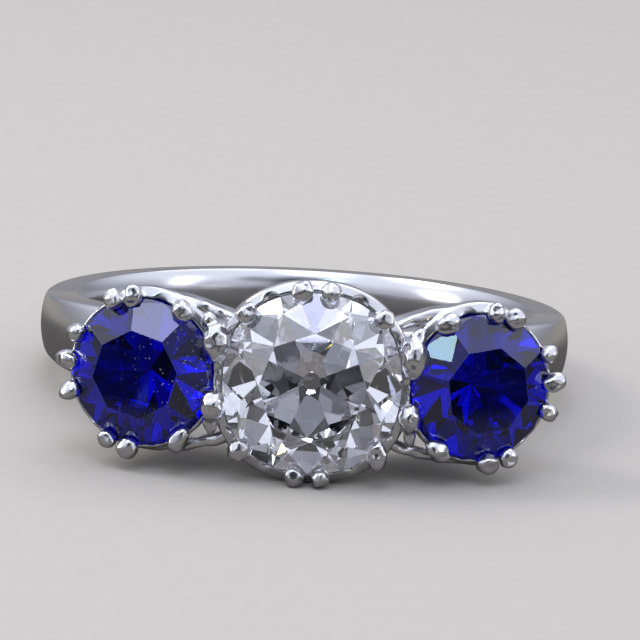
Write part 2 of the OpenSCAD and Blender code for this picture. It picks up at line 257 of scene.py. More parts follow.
def layout(scene):
    """Every size of the ring in millimetres, and the places that follow from them."""
    band = plain(scene.ring_band)
    stones = plain(scene.ring_stones)
    head = plain(scene.ring_head)
    finger_r = band.finger_hole_d / 2
    diamond_y = finger_r + stones.head_rise
    sapphire_r = stones.sapphire_d / 2
    side_x = stones.diamond_w / 2 + stones.stone_gap + sapphire_r * math.cos(stones.side_tilt)
    side_y = diamond_y - stones.side_drop

    def diamond_r(angle):
        return outline_r(stones.diamond_w, stones.diamond_l, stones.diamond_square, angle)

    def round_r(angle):
        return sapphire_r

    diamond_max_r = max(diamond_r(math.radians(a)) for a in range(0, 91, 5))
    sink_r = finger_r + band.back_t - head.foot_sink
    z = head.shared_claw_z
    edge_share = (1 - (2 * z / stones.diamond_l) ** stones.diamond_square) ** (1 / stones.diamond_square)
    sapphire_edge = math.sqrt(sapphire_r ** 2 - z ** 2)
    shared_x = (stones.diamond_w / 2 * edge_share + side_x - sapphire_edge * math.cos(stones.side_tilt)) / 2
    shared_y = (diamond_y + side_y + sapphire_edge * math.sin(stones.side_tilt)) / 2

    # The ring rests on the lower claws of the diamond and on the lower edge of its back
    rest_angle = math.radians(REST_CLAW)
    rest_claw_z = (diamond_r(rest_angle) + head.claw_out) * math.sin(rest_angle)
    back_edge_r = finger_r + band.back_t - band.dome * (band.back_w / band.shoulder_w) ** 2
    claw_y = diamond_y + head.claw_up
    arm_y = claw_y + back_edge_r
    arm_z = rest_claw_z - band.back_w / 2
    tilt = math.atan2(arm_z, arm_y) + math.asin(head.claw_end_r / math.hypot(arm_y, arm_z))
    rest_z = rest_claw_z * math.cos(tilt) + head.claw_end_r - claw_y * math.sin(tilt)
    back_y = (finger_r + band.back_t) * math.cos(tilt) + band.back_w / 2 * math.sin(tilt)
    front_y = (diamond_y + stones.diamond_crown) * math.cos(tilt) + stones.diamond_table / 2 * math.sin(tilt)
    at_rest = Matrix.Translation((0, (front_y - back_y) / 2, rest_z)) @ Matrix.Rotation(-tilt, 4, "X")

    def at_head(side):
        place = Matrix.Translation((side * side_x, -side_y if side else -diamond_y, 0))
        return place @ Matrix.Rotation(side * stones.side_tilt, 4, "Z") @ Matrix.Rotation(math.pi / 2, 4, "X")

    def at_side(side):
        return at_head(side) @ Matrix.Scale(-1 if side < 0 else 1, 4, (1, 0, 0))

    return SimpleNamespace(
        band=band, stones=stones, head=head, finger_r=finger_r, diamond_y=diamond_y, sapphire_r=sapphire_r,
        side_x=side_x, side_y=side_y, diamond_r=diamond_r, round_r=round_r, diamond_max_r=diamond_max_r,
        centre_depth=depth_to(0, diamond_y, 0, sink_r + band.head_extra),
        side_depth=depth_to(side_x, side_y, stones.side_tilt, sink_r),
        shared_x=shared_x, shared_y=shared_y, at_rest=at_rest, at_head=at_head, at_side=at_side,
    )


# Cut stones

def plane_through(a, b, c):
    """Plane through three points, as an outward normal and its distance from the stone's middle."""
    normal = np.cross(b - a, c - a)
    normal = normal / np.linalg.norm(normal)
    distance = normal @ a
    return (normal, distance) if distance > 0 else (-normal, -distance)


def pavilion_planes(edge, turned, girdle, depth, culet_r):
    """Main and lower girdle facets under a girdle, and the culet."""
    planes = [(np.array([0, 0, -1.0]), depth)]
    height = reach(-girdle, -depth, LOW_SHARE)
    for i in range(FACETS):
        a = turned + i * STEP
        low = ridge(a, *(reach(edge(b), culet_r, LOW_SHARE) for b in (a, a + STEP)), height)
        corners = [on_circle(b, edge(b), -girdle) for b in (a, a + STEP / 2, a + STEP)]
        planes.append(plane_through(low, corners[0], corners[1]))
        planes.append(plane_through(low, corners[1], corners[2]))
        main = on_circle(a, depth - girdle, culet_r - edge(a))
        main = main / np.linalg.norm(main)
        planes.append((main, main @ corners[0]))
    return planes


def diamond_planes(ring):
    """Table, stars, kites and upper girdle facets of the old cut stone, and its pavilion."""
    s = ring.stones
    girdle = s.girdle_t / 2
    share = s.diamond_table / 2 / math.cos(STEP / 2) / ring.diamond_r(0)
    planes = [(np.array([0, 0, 1.0]), s.diamond_crown)]
    height = reach(girdle, s.diamond_crown, STAR_SHARE)
    for i in range(FACETS):
        a = i * STEP
        r = [ring.diamond_r(b) for b in (a, a + STEP / 2, a + STEP)]
        table = [on_circle(a + k * STEP / 2, share * r[k], s.diamond_crown) for k in (0, 2)]
        star = ridge(a, *(reach(r[k], share * r[k], STAR_SHARE) for k in (0, 2)), height)
        corners = [on_circle(a + k * STEP / 2, r[k], girdle) for k in range(3)]
        planes.append(plane_through(table[0], table[1], star))
        planes.append(plane_through(star, corners[0], table[0]))
        planes.append(plane_through(star, corners[0], corners[1]))
        planes.append(plane_through(star, corners[1], corners[2]))
    return planes + pavilion_planes(ring.diamond_r, 0, girdle, s.diamond_pavilion, s.diamond_culet / 2)


def sapphire_planes(ring, turned):
    """Table, broad mains and upper girdle facets of a round stone, and its pavilion."""
    s = ring.stones
    girdle = s.girdle_t / 2
    table_r = s.sapphire_table / 2
    tip_r = reach(ring.sapphire_r, table_r, TIP_SHARE)
    height = reach(girdle, s.sapphire_crown, TIP_SHARE)
    planes = [(np.array([0, 0, 1.0]), s.sapphire_crown)]
    for i in range(FACETS):
        a = turned + i * STEP
        tip = ridge(a, tip_r, tip_r, height)
        corners = [on_circle(a + k * STEP / 2, ring.sapphire_r, girdle) for k in range(3)]
        planes.append(plane_through(ridge(a, table_r, table_r, s.sapphire_crown), corners[0], tip))
        planes.append(plane_through(tip, corners[0], corners[1]))
        planes.append(plane_through(tip, corners[1], corners[2]))
    return planes + pavilion_planes(ring.round_r, turned, girdle, s.sapphire_pavilion, s.sapphire_culet / 2)


def finished_mesh(name, bm):
    """Mesh made from a bmesh, which is freed."""
    mesh = bpy.data.meshes.new(name)
    bm.to_mesh(mesh)
    bm.free()
    return mesh


# Rough prism that a stone is cut from: its sides, how much longer it is than the stone in millimetres, and
# its width as a share of the stone's
ROUGH_SIDES = 96
ROUGH_SPARE = 0.2
ROUGH_WIDTH = 0.996
# Corners nearer than this in millimetres become one, and edges that turn less than this in radians stay
WELD = 0.002
LEAST_TURN = 0.03


def cut_stone(name, edge, planes, crown, pavilion, facet_edge):
    """Cuts a stone out of a rough prism, one facet plane after another, and wears its facet edges."""
    bm = bmesh.new()
    turns = [2 * math.pi * i / ROUGH_SIDES for i in range(ROUGH_SIDES)]
    loops = [
        [bm.verts.new(on_circle(a, ROUGH_WIDTH * edge(a), z)) for a in turns]
        for z in (-pavilion - ROUGH_SPARE, crown + ROUGH_SPARE)
    ]
    bm.faces.new(loops[1])
    bm.faces.new(loops[0][::-1])
    for i in range(ROUGH_SIDES):
        k = (i + 1) % ROUGH_SIDES
        bm.faces.new([loops[0][i], loops[0][k], loops[1][k], loops[1][i]])
    girdle_mark = bm.faces.layers.int.new("girdle")
    bm.normal_update()
    for face in bm.faces:
        face[girdle_mark] = 1 if abs(face.normal.z) < 0.5 else 0
    for normal, distance in planes:
        cut = bmesh.ops.bisect_plane(
            bm, geom=bm.verts[:] + bm.edges[:] + bm.faces[:], dist=1e-6,
            plane_co=Vector(normal * distance), plane_no=Vector(normal), clear_outer=True,
        )
        rim = [e for e in cut["geom_cut"] if isinstance(e, bmesh.types.BMEdge) and e.is_boundary]
        if rim:
            made = bmesh.ops.edgeloop_fill(bm, edges=rim)
            for face in made["faces"]:
                face[girdle_mark] = 0
    bmesh.ops.remove_doubles(bm, verts=bm.verts[:], dist=WELD)
    bmesh.ops.dissolve_degenerate(bm, edges=bm.edges[:], dist=WELD)
    bmesh.ops.recalc_face_normals(bm, faces=bm.faces[:])
    crests = [
        e for e in bm.edges
        if len(e.link_faces) == 2 and not any(f[girdle_mark] for f in e.link_faces)
        and e.calc_face_angle(0) > LEAST_TURN
    ]
    bmesh.ops.bevel(
        bm, geom=crests, offset=facet_edge / 2, offset_type="OFFSET", segments=1, profile=0.5,
        affect="EDGES", clamp_overlap=True, material=1,
    )
    return finished_mesh(name, bm)


# Metal worked out as a block of distances

# Room round a shape that its own cells take in as well
PAD = 0.3
# Rounding in millimetres: solder at a claw's end and at a shared one, worn flat places, and cut seats
END_FILLET = 0.04
SHARED_FILLET = 0.06
WORN_EDGE = 0.1
SEAT_EDGE = 0.02


def soft_min(a, b, width):
    """Lesser of two distances, blended where they differ by less than the width."""
    share = np.maximum(width - np.abs(a - b), 0) / width
    return np.minimum(a, b) - share * share * width / 4


def soft_max(a, b, width):
    """Greater of two distances, blended in the same way."""
    return -soft_min(-a, -b, width)


def seen_from(angle, x, y):
    """Coordinates along a direction and across it."""
    return x * math.cos(angle) + y * math.sin(angle), y * math.cos(angle) - x * math.sin(angle)


def moved(matrix, x, y, z):
    """Coordinates of the same points in another frame."""
    m = np.array(matrix)
    return [m[i, 0] * x + m[i, 1] * y + m[i, 2] * z + m[i, 3] for i in range(3)]


def rounded(sides, radius):
    """Distance from a bar with rounded edges, from the distances past its sides drawn in by the radius."""
    outside = np.sqrt(sum(np.maximum(side, 0) ** 2 for side in sides))
    nearest = sides[0]
    for side in sides[1:]:
        nearest = np.maximum(nearest, side)
    return outside + np.minimum(nearest, 0) - radius


class MetalBlock:
    """The space round one head in small cells, each with its distance from the metal's surface."""

    def __init__(self, low, high, cell):
        self.low = np.array(low, float)
        self.cell = cell
        counts = [int(math.ceil((h - l) / cell)) + 1 for l, h in zip(low, high)]
        self.axes = [(l + cell * np.arange(n)).astype(np.float32) for l, n in zip(low, counts)]
        self.field = np.full(counts, FAR, np.float32)

    def window(self, low, high):
        """The cells between two corners, and their coordinates."""
        cells = tuple(
            slice(max(0, int((l - start) / self.cell)), max(1, int((h - start) / self.cell) + 2))
            for l, h, start in zip(low, high, self.low)
        )
        x = self.axes[0][cells[0]][:, None, None]
        y = self.axes[1][cells[1]][None, :, None]
        z = self.axes[2][cells[2]][None, None, :]
        return cells, x, y, z

    def everywhere(self):
        """All cells, and their coordinates."""
        return self.window(self.low, [axis[-1] for axis in self.axes])

    def add(self, cells, distance, fillet):
        """Solders a piece on, with a fillet where it meets the rest."""
        self.field[cells] = soft_min(self.field[cells], distance, fillet)

    def cut(self, cells, distance, edge):
        """Takes away what lies inside a shape, and leaves a worn edge."""
        self.field[cells] = soft_max(self.field[cells], -distance, edge)

    def mesh(self, name, matrix):
        """Skin of the metal, placed by a matrix in millimetres."""
        grid = openvdb.FloatGrid(background=FAR)
        grid.copyFromArray(self.field)
        points, quads = grid.convertToQuads(0.0)
        points = points * self.cell + self.low
        turned = np.array(matrix)
        points = points @ turned[:3, :3].T + turned[:3, 3]
        corners = points[quads]
        halves = [np.cross(corners[:, k], corners[:, k + 1]) for k in (1, 2)]
        if sum(np.einsum("ij,ij->i", corners[:, 0], half).sum() for half in halves) < 0:
            quads = quads[:, ::-1]
        mesh = bpy.data.meshes.new(name)
        mesh.from_pydata((points * MM).tolist(), [], quads.tolist())
        mesh.polygons.foreach_set("use_smooth", np.ones(len(quads), bool))
        keep_in_box(mesh)
        return mesh


def keep_in_box(mesh):
    """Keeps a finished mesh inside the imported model's box."""
    points = np.empty(3 * len(mesh.vertices), np.float32)
    mesh.vertices.foreach_get("co", points)
    low, high = (np.array(corner) for corner in cad_box)
    mesh.vertices.foreach_set("co", np.clip(points.reshape(-1, 3), low, high).ravel())
    mesh.update()


def add_wire(block, foot, end, foot_r, end_r, fillet):
    """Tapered round wire between two points."""
    foot = np.array(foot, float)
    end = np.array(end, float)
    pad = max(foot_r, end_r) + PAD
    cells, x, y, z = block.window(np.minimum(foot, end) - pad, np.maximum(foot, end) + pad)
    run = end - foot
    share = ((x - foot[0]) * run[0] + (y - foot[1]) * run[1] + (z - foot[2]) * run[2]) / (run @ run)
    share = np.clip(share, 0, 1)
    away = np.sqrt(
        (x - foot[0] - share * run[0]) ** 2 + (y - foot[1] - share * run[1]) ** 2
        + (z - foot[2] - share * run[2]) ** 2
    )
    block.add(cells, away - foot_r - share * (end_r - foot_r), fillet)


def add_bead(block, middle, radii, angle, twist, worn, fillet):
    """Rounded claw end: radii outward, sideways and upward, turned to an angle, with worn flat places."""
    middle = np.array(middle, float)
    pad = max(radii) + PAD
    cells, x, y, z = block.window(middle - pad, middle + pad)
    out, side = seen_from(twist, *seen_from(angle, x - middle[0], y - middle[1]))
    up = (z - middle[2]) + 0 * out
    near = np.sqrt((out / radii[0]) ** 2 + (side / radii[1]) ** 2 + (up / radii[2]) ** 2)
    slope = np.sqrt((out / radii[0] ** 2) ** 2 + (side / radii[1] ** 2) ** 2 + (up / radii[2] ** 2) ** 2)
    distance = near * (near - 1) / np.maximum(slope, 1e-3)
    for (a, b, c), share in worn:
        size = math.sqrt(a * a + b * b + c * c)
        flat = (out * a + side * b + up * c) / size - share * min(radii)
        distance = soft_max(distance, flat, WORN_EDGE)
    block.add(cells, distance, fillet)


def add_collet(block, ring, rim_r, foot_r, depth, windows):
    """Tapering wall of a collet with its scallops and windows."""
    h = ring.head
    far = rim_r + PAD
    cells, x, y, z = block.window((-far, -far, -depth - PAD), (far, far, PAD))
    radius = np.sqrt(x * x + y * y)
    spread = (rim_r - foot_r) / (depth - h.rim_drop)
    lean = 1 / math.sqrt(1 + spread * spread)
    outer = (radius - foot_r - (z + depth) * spread) * lean
    wall = np.maximum(outer, -outer - h.wall * lean)
    wall = soft_max(wall, z + h.rim_drop, h.soft_edge * 2)
    wall = np.maximum(wall, -depth - z)
    lift = h.scallop_r / 3
    for degrees in windows:
        ahead, across = seen_from(math.radians(degrees), x, y)
        scallop = np.sqrt(across ** 2 + (z + h.rim_drop - lift) ** 2) - h.scallop_r
        window = np.sqrt(across ** 2 + (z + h.window_drop) ** 2) - h.window_r
        opening = np.where(ahead > 0, np.minimum(scallop, window), FAR)
        wall = soft_max(wall, -opening, h.soft_edge)
    block.add(cells, wall, h.fillet)


def add_rail(block, ring, up):
    """Curved rail between the side stone's first claw and the diamond's corner claw."""
    h = ring.head
    outer = ring.sapphire_r + h.rail_out
    far_x = (ring.sapphire_r + h.claw_out) * math.cos(math.radians(RAIL_CLAW))
    near_x = (ring.diamond_max_r * math.cos(math.pi / 4) - ring.side_x) / math.cos(ring.stones.side_tilt)
    low = (near_x - PAD, min(0, up * (outer + PAD)), -h.rail_back - h.rail_depth - PAD)
    high = (far_x + PAD, max(0, up * (outer + PAD)), -h.rail_back + PAD)
    cells, x, y, z = block.window(low, high)
    radius = np.sqrt(x * x + (up * y - outer + h.rail_curve_r) ** 2)
    across = np.abs(radius - h.rail_curve_r + h.rail_t / 2) - h.rail_t / 2 + h.rail_round
    middle = -h.rail_back - h.rail_depth / 2
    deep = np.abs(z - middle) - h.rail_depth / 2 + h.rail_round
    long = np.maximum(near_x - x, x - far_x) + h.rail_round
    block.add(cells, rounded([across, deep, long], h.rail_round), h.fillet)


# A rim that is broad on one side only starts to broaden where the cosine of the angle from that side is
# this much, and has its whole thickness where it is this much more
BROAD_FROM = 0.35
BROAD_OVER = 0.35
# Scallops of the rims, as shares of the collets' own: height of their middles and radius
RIM_SCALLOP_RISE = 0.75
RIM_SCALLOP_SIZE = 1.15


def add_rim(block, ring, edge_of, widest_r, windows, broad_degrees=None):
    """Scalloped band that follows a stone's outline just under its edge, all round or broad on one side."""
    h = ring.head
    far = widest_r + h.rim_t + h.fillet
    cells, x, y, z = block.window((-far, -far, -h.rim_h - PAD), (far, far, PAD))
    angle = np.arctan2(y, x)
    out = np.sqrt(x * x + y * y) - edge_of(angle)
    thickness = h.rim_t
    if broad_degrees is not None:
        near = np.cos(angle - math.radians(broad_degrees))
        share = np.clip((near - BROAD_FROM) / BROAD_OVER, 0, 1)
        thickness = reach(h.rim_thin, h.rim_t, share * share * (3 - 2 * share))
    across = np.abs(out - thickness / 2) - thickness / 2 + h.rim_round
    top = -h.rim_top - h.rim_slope * out / h.rim_t
    high = np.abs(z - top + h.rim_h / 2) - h.rim_h / 2 + h.rim_round
    band = rounded([across, high], h.rim_round)
    for degrees in windows:
        ahead, side = seen_from(math.radians(degrees), x, y)
        middle_z = h.scallop_r * RIM_SCALLOP_RISE
        scallop = np.sqrt(side ** 2 + (z - middle_z) ** 2) - h.scallop_r * RIM_SCALLOP_SIZE
        band = soft_max(band, -np.where(ahead > 0, scallop, FAR), h.soft_edge)
    block.add(cells, band, h.fillet)


def clear_stone(block, ring, planes, edge_of, matrix):
    """Cuts a stone's room out of the metal. The matrix leads from the block to the stone."""
    cells, *place = block.everywhere()
    x, y, z = moved(matrix, *place)
    distance = np.sqrt(x * x + y * y) - edge_of(np.arctan2(y, x))
    for normal, offset in planes:
        distance = np.maximum(distance, normal[0] * x + normal[1] * y + normal[2] * z - offset)
    block.cut(cells, distance - ring.stones.seat_gap, SEAT_EDGE)


# How far the heads keep behind the wall of the finger hole, and how far below the girdle an open foot ends
FINGER_GAP = 0.06
OPEN_FOOT_DROP = 1.9


def clear_finger(block, ring, matrix, hole_r):
    """Cuts away what would reach into the finger hole, and the collet's open foot."""
    cells, x, y, z = block.everywhere()
    a, b, _ = moved(matrix, x, y, z)
    block.cut(cells, np.sqrt(a * a + b * b) - ring.finger_r - FINGER_GAP, SEAT_EDGE)
    foot = np.sqrt(x * x + y * y) - hole_r + 0 * z
    block.cut(cells, np.maximum(foot, z + OPEN_FOOT_DROP), ring.head.soft_edge)


# Waves of the uneven metal, so many of each kind: shortest and longest in mm, share of the lumps' height,
# share of that which is left low on the heads, and the heights between which it grows to the whole
WAVE_COUNT = 7
WAVES = [
    (0.7, 1.6, 0.33, 0.3, -1.6, -0.5),
    (0.3, 0.55, 0.26, 0.0, -0.8, -0.2),
]


def add_lumps(block, height, seed):
    """Uneven surface of hand worked metal: waves in random directions, long ones and short low ones."""
    rng = np.random.default_rng(seed)
    cells, x, y, z = block.everywhere()
    for shortest, longest, share, low_share, low, high in WAVES:
        strength = np.clip((z - low) / (high - low), low_share, 1).astype(np.float32) * height * share
        for _ in range(WAVE_COUNT):
            way = rng.normal(size=3)
            way = way / np.linalg.norm(way) * 2 * math.pi / rng.uniform(shortest, longest)
            phase = way[0] * x + way[1] * y + way[2] * z + rng.uniform(0, 6.28)
            block.field += np.sin(phase).astype(np.float32) * np.float32(strength)


# Claw ends as they are worn: direction in degrees, radii outward, sideways and upward as shares of a claw
# end's, twist, and flat places with their direction and their depth as a share of the smallest radius
CENTRE_ENDS = [
    (REST_CLAW, (0.98, 1.0, 1.0), 0, []),
    (180 - REST_CLAW, (1.0, 1.05, 0.95), 0, [((0, 0, 1), 0.6)]),
    (-REST_CLAW, (1.0, 1.0, 1.0), 0.3, [((1, 0, 0.4), 0.75), ((0, 1, 0.3), 0.8)]),
    (REST_CLAW - 180, (1.0, 1.0, 1.0), 0, []),
    (45, (1.0, 1.0, 1.0), 0.2, [((0, 0, 1), 0.75)]),
    (135, (0.9, 1.25, 0.95), 0.2, [((0, 1, 0.3), 0.95), ((0, 0, 1), 0.75)]),
    (-45, (1.45, 0.95, 1.0), -0.7, [((0, 0, 1), 0.85)]),
    (-135, (1.15, 1.2, 1.0), 0.2, []),
]
# Shared claw ends: side, up or down, how far moved, radii as shares along the row, across it and upward, tilt
SHARED_ENDS = [
    (-1, 1, (-0.07, 0.3, 0.05), (1.12, 1.65, 1.1), 0.12),
    (-1, -1, (-0.06, 0.15, 0.04), (1.0, 1.35, 1.05), -0.1),
    (1, 1, (0.18, 0, 0.05), (1.08, 1.6, 1.1), 0.05),
    (1, -1, (0.12, 0, 0.02), (0.9, 1.2, 0.95), 0),
]
# Lumps of solder between the heads: middle, radii and tilt
SOLDER_LUMPS = [
    ((-3.72, 2.1, 0.0), (0.28, 0.3, 0.3), 0),
    ((3.62, 1.75, 0.0), (0.3, 0.42, 0.3), -0.5),
    ((3.5, -1.75, -0.1), (0.24, 0.4, 0.28), 0.2),
    ((-3.5, -1.6, -0.1), (0.26, 0.42, 0.28), 0.2),
]
# Bar between the two shared claws of a side: half its length, its depth under their ends and its radius
SHARED_BAR = (1.35, 0.42, 0.2)
# Side claws: direction in degrees, the first being the one that a rail ends at, and how far the end was
# drawn outward and sideways when it was bent over
RAIL_CLAW = 82
SIDE_CLAWS = [
    (RAIL_CLAW, 1.15, 0.92),
    (66, 1.08, 1.0),
    (26, 1.0, 0.92),
    (4, 1.22, 0.87),
    (-19, 1.18, 0.9),
    (-66, 1.0, 0.95),
    (-83, 1.12, 1.12),
    (122, 0.97, 1.3),
    (-125, 1.0, 1.45),
]
# Ranges from which each side claw's end is drawn: its size, the lean and depth of its flat place, its twist
END_SIZES = (0.92, 1.02)
FLAT_OUTWARD = (-0.3, 0.6)
FLAT_SIDEWAYS = (-0.5, 0.5)
FLAT_DEPTHS = (0.6, 0.95)
END_TWISTS = (-0.5, 0.5)
# Directions of the openings in the collets, in degrees
CENTRE_WINDOWS = [62, 118, -62, -118, 30, 150, -30, -150]
SIDE_WINDOWS = [102, 46, -43, -104]
# Direction in which a side stone's rim is broadest: up and toward the diamond
BROAD_RIM = 125
# Corners of the space that is worked out round a centre head and round a side head
CENTRE_ROOM = ((-4.3, -3.95, -3.55), (4.3, 3.95, 0.85))
SIDE_ROOM = ((-4.1, -3.2, -4.0), (3.3, 3.2, 0.8))
# Step from the seed of the centre head's waves to the side heads'
SIDE_SEED = 5


def ring_piece(name, mesh, replaced, materials):
    """Puts a finished mesh in the scene as a piece that rides on the ring's body."""
    piece = bpy.data.objects.new(name, mesh)
    bpy.context.scene.collection.objects.link(piece)
    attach(piece, "root")
    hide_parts(replaced)
    for material in materials:
        mesh.materials.append(material)


def cell_size(ring):
    """Spacing of the points that the heads are worked out on."""
    return ring.head.cell * 1


def centre_block(ring, finish):
    """Metal of the centre head, with the shared claws on both sides."""
    h = ring.head
    block = MetalBlock(*CENTRE_ROOM, cell_size(ring))
    add_collet(
        block, ring, ring.diamond_max_r + h.rim_out, h.centre_foot_r, ring.centre_depth, CENTRE_WINDOWS
    )
    for degrees, shares, twist, worn in CENTRE_ENDS:
        a = math.radians(degrees)
        top_r = ring.diamond_r(a) + h.claw_out
        foot = on_circle(a, h.centre_foot_r - h.claw_foot_r, -ring.centre_depth)
        top = on_circle(a, top_r, h.claw_up)
        add_wire(block, foot, top, h.claw_foot_r, h.claw_top_r, h.fillet)
        add_bead(block, top, [h.claw_end_r * s for s in shares], a, twist, worn, END_FILLET)
    foot_z = ring.finger_r + ring.band.back_t / 2 - ring.diamond_y
    top_z = ring.shared_y + h.claw_up - ring.diamond_y
    for side, up, shift, shares, tilt in SHARED_ENDS:
        foot = (side * ring.shared_x, up * (h.shared_claw_z - h.claw_top_r), foot_z)
        top = np.array((side * ring.shared_x, up * h.shared_claw_z, top_z))
        add_wire(block, foot, top, h.claw_foot_r, h.claw_top_r, h.fillet)
        radii = [h.shared_end_r * share for share in shares]
        add_bead(block, top + np.array(shift), radii, 0, tilt, [], SHARED_FILLET)
    half, drop, bar_r = SHARED_BAR
    for side in (-1, 1):
        low, high = ((side * ring.shared_x, y, top_z - drop) for y in (-half, half))
        add_wire(block, low, high, bar_r, bar_r, h.fillet)
    for middle, radii, tilt in SOLDER_LUMPS:
        add_bead(block, middle, radii, 0, tilt, [], h.fillet)
    add_lumps(block, h.lumps, finish.seed)
    add_rim(block, ring, ring.diamond_r, ring.diamond_max_r, CENTRE_WINDOWS)
    return block


def side_block(ring, finish, side):
    """Metal of a side head, drawn with X outward."""
    h = ring.head
    block = MetalBlock(*SIDE_ROOM, cell_size(ring))
    add_collet(block, ring, ring.sapphire_r + h.rim_out, h.side_foot_r, ring.side_depth, SIDE_WINDOWS)
    for up in (-1, 1):
        add_rail(block, ring, up)
    rng = np.random.default_rng(finish.seed + side)
    for degrees, drawn_out, drawn_sideways in SIDE_CLAWS:
        a = math.radians(degrees)
        foot = on_circle(a, h.side_foot_r - h.claw_foot_r, -ring.side_depth)
        top = on_circle(a, ring.sapphire_r + h.claw_out, h.claw_up)
        add_wire(block, foot, top, h.claw_foot_r, h.claw_top_r, h.fillet)
        radii = [h.claw_end_r * rng.uniform(*END_SIZES) for _ in range(3)]
        radii[0] *= drawn_out
        radii[1] *= drawn_sideways
        lean = (rng.uniform(*FLAT_OUTWARD), rng.uniform(*FLAT_SIDEWAYS), 1)
        worn = [(lean, rng.uniform(*FLAT_DEPTHS))]
        add_bead(block, top, radii, a, rng.uniform(*END_TWISTS), worn, END_FILLET)
    add_lumps(block, h.lumps, finish.seed + SIDE_SEED + side)
    add_rim(block, ring, ring.round_r, ring.sapphire_r, SIDE_WINDOWS, BROAD_RIM)
    return block


# Materials

# Places of a Mix node's two colours and of the mixed one, whose names its other sockets have as well
MIX_A = 6
MIX_B = 7
MIX_COLOUR = 2
DIAMOND_IOR = 2.417
SAPPHIRE_IOR = 1.77
# How far the metal's roughness strays from its mean, as a share of it
GLOSS_SPREAD = 0.1


def add_node(tree, kind, settings=None, inputs=None):
    """Adds a node, sets its properties and its inputs, and links the inputs that are given a socket."""
    node = tree.nodes.new(kind)
    for name, value in (settings or {}).items():
        setattr(node, name, value)
    for name, value in (inputs or {}).items():
        if isinstance(value, bpy.types.NodeSocket):
            tree.links.new(value, node.inputs[name])
        else:
            node.inputs[name].default_value = value
    return node


def shade(colour, share):
    """A colour made darker to a share of itself, with full alpha."""
    return (*(c * share for c in colour), 1)


def new_material(name):
    """Empty node material and its node tree."""
    material = bpy.data.materials.new(name)
    material.use_nodes = True
    material.node_tree.nodes.clear()
    return material, material.node_tree


def cast_platinum(name, finish, roughness, wear_mm, grain_mm, depth):
    """Platinum, cast and polished by hand: a cool white metal with a soft gloss and a faint grain of wear."""
    material, tree = new_material(name)
    place = add_node(tree, "ShaderNodeTexCoord").outputs["Object"]
    grain = add_node(
        tree, "ShaderNodeTexNoise", inputs={"Vector": place, "Scale": 1 / (grain_mm * MM), "Detail": 4.0}
    ).outputs["Fac"]
    wear = add_node(
        tree, "ShaderNodeTexNoise", inputs={"Vector": place, "Scale": 1 / (wear_mm * MM), "Detail": 3.0}
    ).outputs["Fac"]
    gloss = add_node(tree, "ShaderNodeMapRange", inputs={
        "Value": wear, "From Min": 0.3, "From Max": 0.7,
        "To Min": roughness * (1 - GLOSS_SPREAD), "To Max": roughness * (1 + GLOSS_SPREAD),
    }).outputs["Result"]
    tone = add_node(tree, "ShaderNodeMix", {"data_type": "RGBA"}, {
        "Factor": wear, MIX_A: shade(finish.platinum, 1), MIX_B: shade(finish.platinum, 0.93),
    }).outputs[MIX_COLOUR]
    bump = add_node(tree, "ShaderNodeBump", inputs={
        "Height": grain, "Strength": depth, "Distance": 0.01 * MM,
    }).outputs["Normal"]
    shader = add_node(tree, "ShaderNodeBsdfPrincipled", inputs={
        "Base Color": tone, "Metallic": 1.0, "Roughness": gloss, "Normal": bump,
    })
    add_node(tree, "ShaderNodeOutputMaterial", inputs={"Surface": shader.outputs["BSDF"]})
    return material


def cut_diamond(name):
    """Diamond, cut and polished by hand: colourless, with the strongest glitter of any clear stone."""
    material, tree = new_material(name)
    place = add_node(tree, "ShaderNodeTexCoord").outputs["Object"]
    cloud = add_node(
        tree, "ShaderNodeTexNoise", inputs={"Vector": place, "Scale": 1 / (1.5 * MM), "Detail": 2.0}
    ).outputs["Fac"]
    tone = add_node(tree, "ShaderNodeMix", {"data_type": "RGBA"}, {
        "Factor": cloud, MIX_A: linear("#FFFFFF"), MIX_B: linear("#F3F5FF"),
    }).outputs[MIX_COLOUR]
    shader = add_node(tree, "ShaderNodeBsdfPrincipled", inputs={
        "Base Color": tone, "Roughness": 0.0, "IOR": DIAMOND_IOR, "Transmission Weight": 1.0,
    })
    add_node(tree, "ShaderNodeOutputMaterial", inputs={"Surface": shader.outputs["BSDF"]})
    return material


def worn_facet_edge(name, colour, ior):
    """Abraded edge between two facets: a fine frosted line that catches the light."""
    material, tree = new_material(name)
    place = add_node(tree, "ShaderNodeTexCoord").outputs["Object"]
    nicks = add_node(
        tree, "ShaderNodeTexNoise", inputs={"Vector": place, "Scale": 1 / (0.25 * MM), "Detail": 3.0}
    ).outputs["Fac"]
    gloss = add_node(tree, "ShaderNodeMapRange", inputs={
        "Value": nicks, "From Min": 0.3, "From Max": 0.7, "To Min": 0.25, "To Max": 0.6,
    }).outputs["Result"]
    shader = add_node(tree, "ShaderNodeBsdfPrincipled", inputs={
        "Base Color": linear(colour), "Roughness": gloss, "IOR": ior, "Transmission Weight": 0.1,
    })
    add_node(tree, "ShaderNodeOutputMaterial", inputs={"Surface": shader.outputs["BSDF"]})
    return material


# Where the dust lies thickest, in metres: on the left stone, beside the shared claws
DUST_PLACE = (-0.0045, -0.0105, 0.0040)


